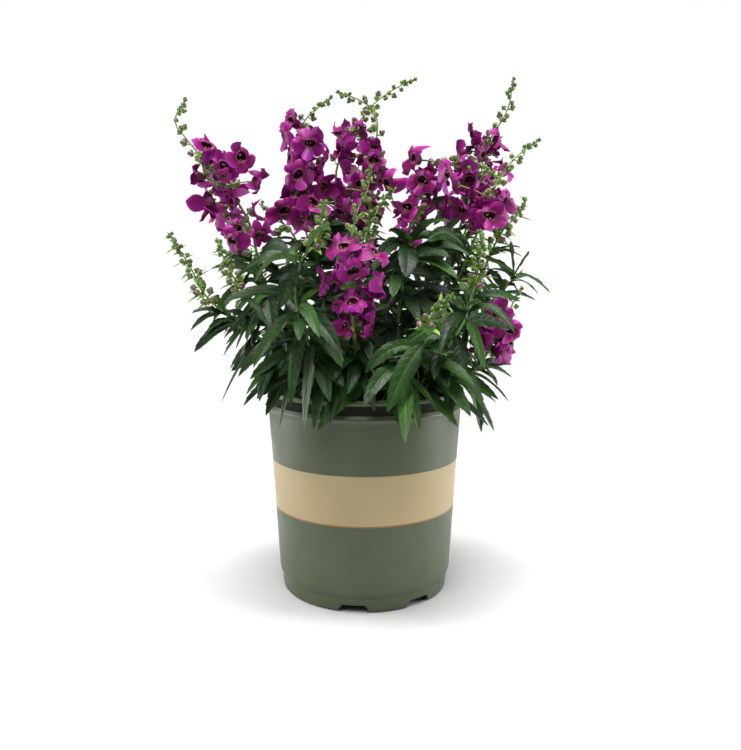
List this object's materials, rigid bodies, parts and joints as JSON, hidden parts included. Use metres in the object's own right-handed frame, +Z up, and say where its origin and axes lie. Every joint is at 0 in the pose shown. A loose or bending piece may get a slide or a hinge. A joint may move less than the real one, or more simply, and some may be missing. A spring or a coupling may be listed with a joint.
{
  "type": "potted angelonia",
  "caption": "Bushy angelonia in a round nursery pot, with toothed leaves and spikes of small lobed flowers above the leaves.",
  "frame": {"origin": "middle of the pot's flat underside, on the surface that the pot stands on", "axes": "+Z up along the pot's axis, -Y towards the side seen in the picture, +X to the right in the picture"},
  "size_m": [0.2911, 0.2426, 0.4317],
  "materials": {
    "pot": "olive green moulded plastic with a soft sheen and a plain tan printed band",
    "soil": "dark potting mix of peat and bark",
    "leaf": "dark green leaf with a pale midrib and a soft sheen",
    "petal": "magenta purple petal with a velvety surface",
    "bud": "light green bud and flower stalk"
  },
  "bodies": {
    "root": {"pot": "pot", "soil": "soil", "stem_a": "leaf", "stem_c": "leaf", "stem_d": "leaf", "stem_e": "leaf", "stem_f": "leaf", "stem_g": "leaf", "stem_h": "leaf", "stem_i": "leaf", "stem_j": "leaf", "stem_m": "leaf", "stem_n": "leaf", "stem_o": "leaf", "stem_q": "leaf", "stem_r": "leaf", "stem_s": "leaf", "stem_t": "leaf", "stem_u": "leaf", "raceme_a": "petal", "raceme_c": "petal", "raceme_d": "petal", "raceme_e": "petal", "raceme_f": "petal", "raceme_h": "petal", "raceme_i": "petal", "raceme_j": "petal", "raceme_n": "petal", "raceme_p": "petal", "raceme_q": "petal", "raceme_r": "petal", "raceme_s": "petal", "raceme_t": "petal", "raceme_u": "petal", "raceme_b": "bud", "raceme_b2": "bud", "raceme_f2": "bud", "raceme_g": "bud", "raceme_k": "bud", "raceme_m": "bud", "raceme_o": "bud"}
  },
  "joints": []
}
